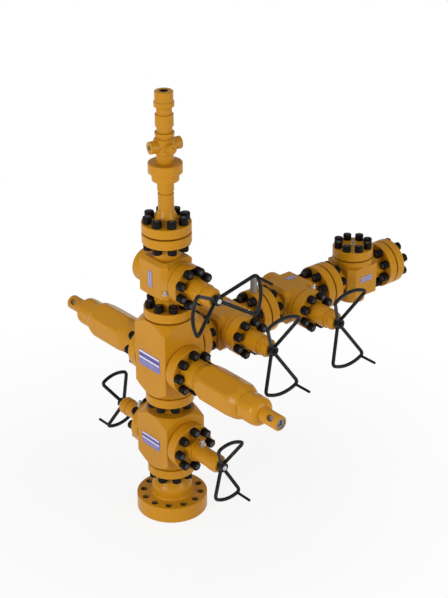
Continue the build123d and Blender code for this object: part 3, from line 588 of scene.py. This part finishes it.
for valve in ("swab", "wing_inner", "wing_outer"):
    seat = middle(valve + "_bonnet")
    seat.x = low(valve + "_bonnet").x + VALVE_BONNET_THICKNESS
    bolt_row(valve + "_bonnet_studs", seat, RIGHT, VALVE_BONNET_PITCH, STRADDLE, SMALL_NUT)

collars = Solids()
collar_spots = [(cover_seat, UP)]
for valve, angle in (("swab", SWAB_FITTING_ANGLE), ("wing_inner", WING_FITTING_ANGLE),
                     ("wing_outer", WING_FITTING_ANGLE)):
    out = Vector((0, math.cos(math.radians(angle)), math.sin(math.radians(angle))))
    foot = middle(valve + "_bonnet")
    foot.x = FITTING_X
    collar_spots.append((foot + out * VALVE_PAD_RADIUS, out))
for foot, out in collar_spots:
    place = Matrix((RIGHT, out.cross(RIGHT), out)).transposed().to_4x4()
    collars.add(Matrix.Translation(foot - out * COLLAR_SINK) @ place,
                nut_rings(COLLAR_FLATS, COLLAR_HEIGHT, COLLAR_BORE))
collars.make("fitting_collars", (STEEL,), "root")

# Bare steel of the imported pieces, and painted shade in the base's bolt holes, the bores and the plug
# ends
lock_end_x = high("ram_lock_screw_right").x
lock_tilt = math.radians(LOCK_SLOT_TILT)
slot_out = Vector((0, -math.sin(lock_tilt), math.cos(lock_tilt)))
test_fitting_y = middle_joint_y - RAISED_FACE - FLANGE_THICKNESS / 2


def in_base_hole(spot, normal):
    """Whether a face lines one of the open bolt holes of the base flange."""
    turn = math.tau / BASE_HOLES
    angle = (math.floor(math.atan2(spot.y, spot.x) / turn) + 0.5) * turn
    hole = Vector((math.cos(angle), math.sin(angle))) * BASE_PITCH / 2
    return abs(normal.z) < 0.5 and (spot.xy - hole).length < BASE_HOLE / 2 + MARK_MARGIN


def in_base_bore(spot, normal):
    """Whether a face lines the bore at the foot or the run above it."""
    return abs(normal.z) < 0.5 and spot.xy.length < BASE_BORE / 2 + MARK_MARGIN


def in_crown_bore(spot, normal):
    """Whether a face lines the bore at the top."""
    return spot.xy.length < CROWN_BORE / 2 + MARK_MARGIN


def in_end_bore(spot, normal):
    """Whether a face lines the bore of the end flange."""
    return math.hypot(spot.x, spot.z - wing_z) < END_BORE / 2 + MARK_MARGIN


def in_lock(spot, normal):
    """Whether a face is in the end recess of a lock screw, its socket or the floor of its slot."""
    centred = math.hypot(spot.y, spot.z - ram_axis_z) < LOCK_RECESS / 2 + MARK_MARGIN
    at_end = abs(spot.x) > lock_end_x - LOCK_SOCKET_DEPTH - MARK_MARGIN
    height = (spot - UP * ram_axis_z).dot(slot_out)
    on_floor = height < LOCK_SLOT_FLOOR + MARK_MARGIN and normal.dot(slot_out) > 0.9
    return centred and (at_end or on_floor)


def on_bleed_plug(spot, normal):
    """Whether a face is on one of the two plugs of the bleed body that look along the wing."""
    return spot.z > top_joint_z and abs(spot.y) > abs(spot.x)


def on_cross_plug(spot, normal):
    """Whether a face is on one of the two painted plugs of the bleed body that look across the wing."""
    return spot.z > top_joint_z and abs(spot.y) <= abs(spot.x)


def on_test_fitting(spot, normal):
    """Whether a face is on the fitting behind the inner wing valve."""
    return abs(spot.y - test_fitting_y) < FLANGE_THICKNESS and abs(spot.x) < TEST_FITTING_REACH


def on_small_plate(spot, normal):
    """Whether a face is on one of the plates of the valves and the tee."""
    return spot.y > low("nameplates").y + 2 * PLATE_THICKNESS


# Painted shade: dark brown in the open bolt holes of the base
mark("base_adapter", PAINTED_SHADE_BROWN, in_base_hole)
mark("base_adapter", STUD, in_base_bore)
# Painted shade: near-black brown inside the bores
mark("crown_coupling", PAINTED_BORE_SHADE, in_crown_bore)
mark("wing_end_flange", PAINTED_BORE_SHADE, in_end_bore)
mark("ram_lock_screw_right", ZINC, in_lock)
mark("ram_lock_screw_left", ZINC, in_lock)
# Painted shade: dark brown on the ends of the plugs along the wing
mark("plugs_and_fittings", PAINTED_SHADE_BROWN, on_bleed_plug)
mark("plugs_and_fittings", PAINT, on_cross_plug)
mark("plugs_and_fittings", ZINC, on_test_fitting)
mark("nameplates", LILAC, on_small_plate)


def add_box(lot, place, left, right, bottom, top, slot):
    """Add a thin band with a softened upper edge, sunk a little into its plate."""
    rings = []
    soft = BAND_THICKNESS / 2
    for inset, level in ((0, -BAND_THICKNESS), (0, soft), (soft, BAND_THICKNESS)):
        corners = ((left + inset, bottom + inset), (right - inset, bottom + inset),
                   (right - inset, top - inset), (left + inset, top - inset))
        rings.append([(x, y, level) for x, y in corners])
    lot.add(place, rings, slot)


def plate_faces(name, plates):
    """Bands and rivets of the plates: (middle, out, size, bands).

    A band is (left, right, bottom, top, slot) in shares of the plate's sides.
    """
    lot = Solids()
    for origin, out, (width, height), bands in plates:
        across, rise = (ALONG, UP) if out == RIGHT else (RIGHT, UP if out == BACK else ALONG)
        place = Matrix.Translation(origin) @ Matrix((across, rise, out)).transposed().to_4x4()
        inner_width = width - 2 * BAND_MARGIN
        inner_height = height - 2 * BAND_MARGIN
        for left, right, bottom, top, slot in bands:
            add_box(lot, place, (left - 0.5) * inner_width, (right - 0.5) * inner_width,
                    (bottom - 0.5) * inner_height, (top - 0.5) * inner_height, slot)
        for x in (RIVET_INSET - width / 2, width / 2 - RIVET_INSET):
            for y in (RIVET_INSET - height / 2, height / 2 - RIVET_INSET):
                rings = [circle_ring(RIVET_RADIUS * reach, RIVET_HEIGHT * level, RIVET_SEGMENTS)
                         for reach, level in RIVET_DOME]
                lot.add(place @ Matrix.Translation((x, y, 0)), rings, RIVET_SLOT)
    lot.make(name, (BAND, NAVY, LILAC, STEEL, MAUVE), "root")


LARGE_BANDS = (
    (0, 1, 0.86, 1, PALE_SLOT),
    (0, 1, 0.57, 0.86, DARK_SLOT),
    (0, 1, 0.44, 0.57, PALE_SLOT),
    (0.08, 0.92, 0.12, 0.34, LILAC_SLOT),
)
SMALL_BANDS = ((0, 1, 0.8, 0.95, MAUVE_SLOT), (0, 1, 0.3, 0.42, MAUVE_SLOT))
TALL_BANDS = ((0.08, 0.3, 0.06, 0.94, MAUVE_SLOT), (0.62, 0.84, 0.06, 0.94, MAUVE_SLOT))
block_front = low("nameplates").y
plate_list = [
    (Vector((LOWER_PLATE_X, block_front, lower_axis_z)), BACK, LOWER_PLATE, LARGE_BANDS),
    (Vector((RAM_PLATE_X, block_front, ram_axis_z + RAM_PLATE_RISE)), BACK, RAM_PLATE, LARGE_BANDS),
    (Vector((SWAB_PLATE_X, -VALVE_FACE - PLATE_THICKNESS, swab_axis_z)), BACK, SWAB_PLATE, TALL_BANDS),
    (Vector((high("nameplates").x, tee_y, wing_z + TEE_PLATE_RISE)), RIGHT, TEE_PLATE, SMALL_BANDS),
]
for valve in ("wing_inner", "wing_outer"):
    plate_y = middle(valve + "_bonnet").y + WING_PLATE_SHIFT
    plate_z = wing_z + VALVE_FACE + PLATE_THICKNESS
    plate_list.append((Vector((WING_PLATE_X, plate_y, plate_z)), UP, WING_PLATE, TALL_BANDS))
plate_faces("plate_bands", plate_list)


# Light, floor and camera
for name, place, width, power in LAMPS:
    data = bpy.data.lights.new(name, "AREA")
    data.size = width
    data.energy = power
    lamp = bpy.data.objects.new(name, data)
    lamp.location = place
    lamp.rotation_euler = (OBJECT_MIDDLE - place).to_track_quat("-Z", "Y").to_euler()
    bpy.context.scene.collection.objects.link(lamp)


def white_for_view(tree, shader_output, surface_input, share):
    """White to the camera, in reflections and through glass, mixed by share with the real shading."""
    path = tree.nodes.new("ShaderNodeLightPath")
    glossy = tree.nodes.new("ShaderNodeMath")
    glossy.operation = "MAXIMUM"
    tree.links.new(path.outputs["Is Camera Ray"], glossy.inputs[0])
    tree.links.new(path.outputs["Is Glossy Ray"], glossy.inputs[1])
    clear = tree.nodes.new("ShaderNodeMath")
    clear.operation = "MAXIMUM"
    tree.links.new(glossy.outputs[0], clear.inputs[0])
    tree.links.new(path.outputs["Is Transmission Ray"], clear.inputs[1])
    part = tree.nodes.new("ShaderNodeMath")
    part.operation = "MULTIPLY"
    tree.links.new(clear.outputs[0], part.inputs[0])
    tree.links.new(share, part.inputs[1])
    white = tree.nodes.new("ShaderNodeEmission")
    white.inputs["Color"].default_value = WHITE
    mix = tree.nodes.new("ShaderNodeMixShader")
    tree.links.new(part.outputs[0], mix.inputs[0])
    tree.links.new(shader_output, mix.inputs[1])
    tree.links.new(white.outputs[0], mix.inputs[2])
    tree.links.new(mix.outputs[0], surface_input)


def make_floor():
    """A white floor that keeps a faint shadow near the object and is plain white further off."""
    half = FLOOR_HALF
    mesh = bpy.data.meshes.new("floor")
    corners = [(-half, -half, 0), (half, -half, 0), (half, half, 0), (-half, half, 0)]
    mesh.from_pydata(corners, [], [(0, 1, 2, 3)])
    floor = bpy.data.objects.new("floor", mesh)
    bpy.context.scene.collection.objects.link(floor)
    material = bpy.data.materials.new("studio_floor")
    material.use_nodes = True
    tree = material.node_tree
    shader = tree.nodes["Principled BSDF"]
    shader.inputs["Base Color"].default_value = FLOOR_COLOUR
    shader.inputs["Roughness"].default_value = FLOOR_ROUGHNESS
    place = tree.nodes.new("ShaderNodeTexCoord").outputs["Object"]
    reach = tree.nodes.new("ShaderNodeVectorMath")
    reach.operation = "LENGTH"
    tree.links.new(place, reach.inputs[0])
    share = spread(tree, reach.outputs["Value"], WHITE_SHARE_NEAR, 1.0, SHADOW_START, SHADOW_END)
    output = tree.nodes["Material Output"]
    white_for_view(tree, shader.outputs[0], output.inputs["Surface"], share)
    mesh.materials.append(material)


def make_world():
    """Soft even sky light, plain white where it is seen."""
    world = bpy.data.worlds.new("studio")
    bpy.context.scene.world = world
    world.use_nodes = True
    tree = world.node_tree
    sky = tree.nodes["Background"]
    sky.inputs["Color"].default_value = WHITE
    sky.inputs["Strength"].default_value = SKY_STRENGTH
    output = tree.nodes["World Output"]
    path = tree.nodes.new("ShaderNodeLightPath")
    seen = tree.nodes.new("ShaderNodeMath")
    seen.operation = "MAXIMUM"
    tree.links.new(path.outputs["Is Camera Ray"], seen.inputs[0])
    tree.links.new(path.outputs["Is Transmission Ray"], seen.inputs[1])
    white = tree.nodes.new("ShaderNodeBackground")
    white.inputs["Color"].default_value = WHITE
    mix = tree.nodes.new("ShaderNodeMixShader")
    tree.links.new(seen.outputs[0], mix.inputs[0])
    tree.links.new(sky.outputs[0], mix.inputs[1])
    tree.links.new(white.outputs[0], mix.inputs[2])
    tree.links.new(mix.outputs[0], output.inputs["Surface"])


def make_camera():
    """The camera at the photograph's place, turned a little about its own line of sight."""
    data = bpy.data.cameras.new("camera")
    data.sensor_width = SENSOR
    data.lens = FOCAL_PIXELS * SENSOR / PHOTO_HEIGHT
    data.clip_end = CAMERA_FAR
    forward = (CAMERA_AIM - CAMERA_PLACE).normalized()
    level = forward.cross(UP).normalized()
    above = level.cross(forward)
    right = level * math.cos(CAMERA_ROLL) + above * math.sin(CAMERA_ROLL)
    upward = right.cross(forward)
    turned = Matrix((right, upward, -forward)).transposed()
    camera = bpy.data.objects.new("camera", data)
    camera.matrix_world = Matrix.Translation(CAMERA_PLACE) @ turned.to_4x4()
    bpy.context.scene.collection.objects.link(camera)
    bpy.context.scene.camera = camera


make_floor()
make_world()
make_camera()
bpy.context.scene.view_settings.view_transform = "Standard"

bpy.context.view_layer.update()
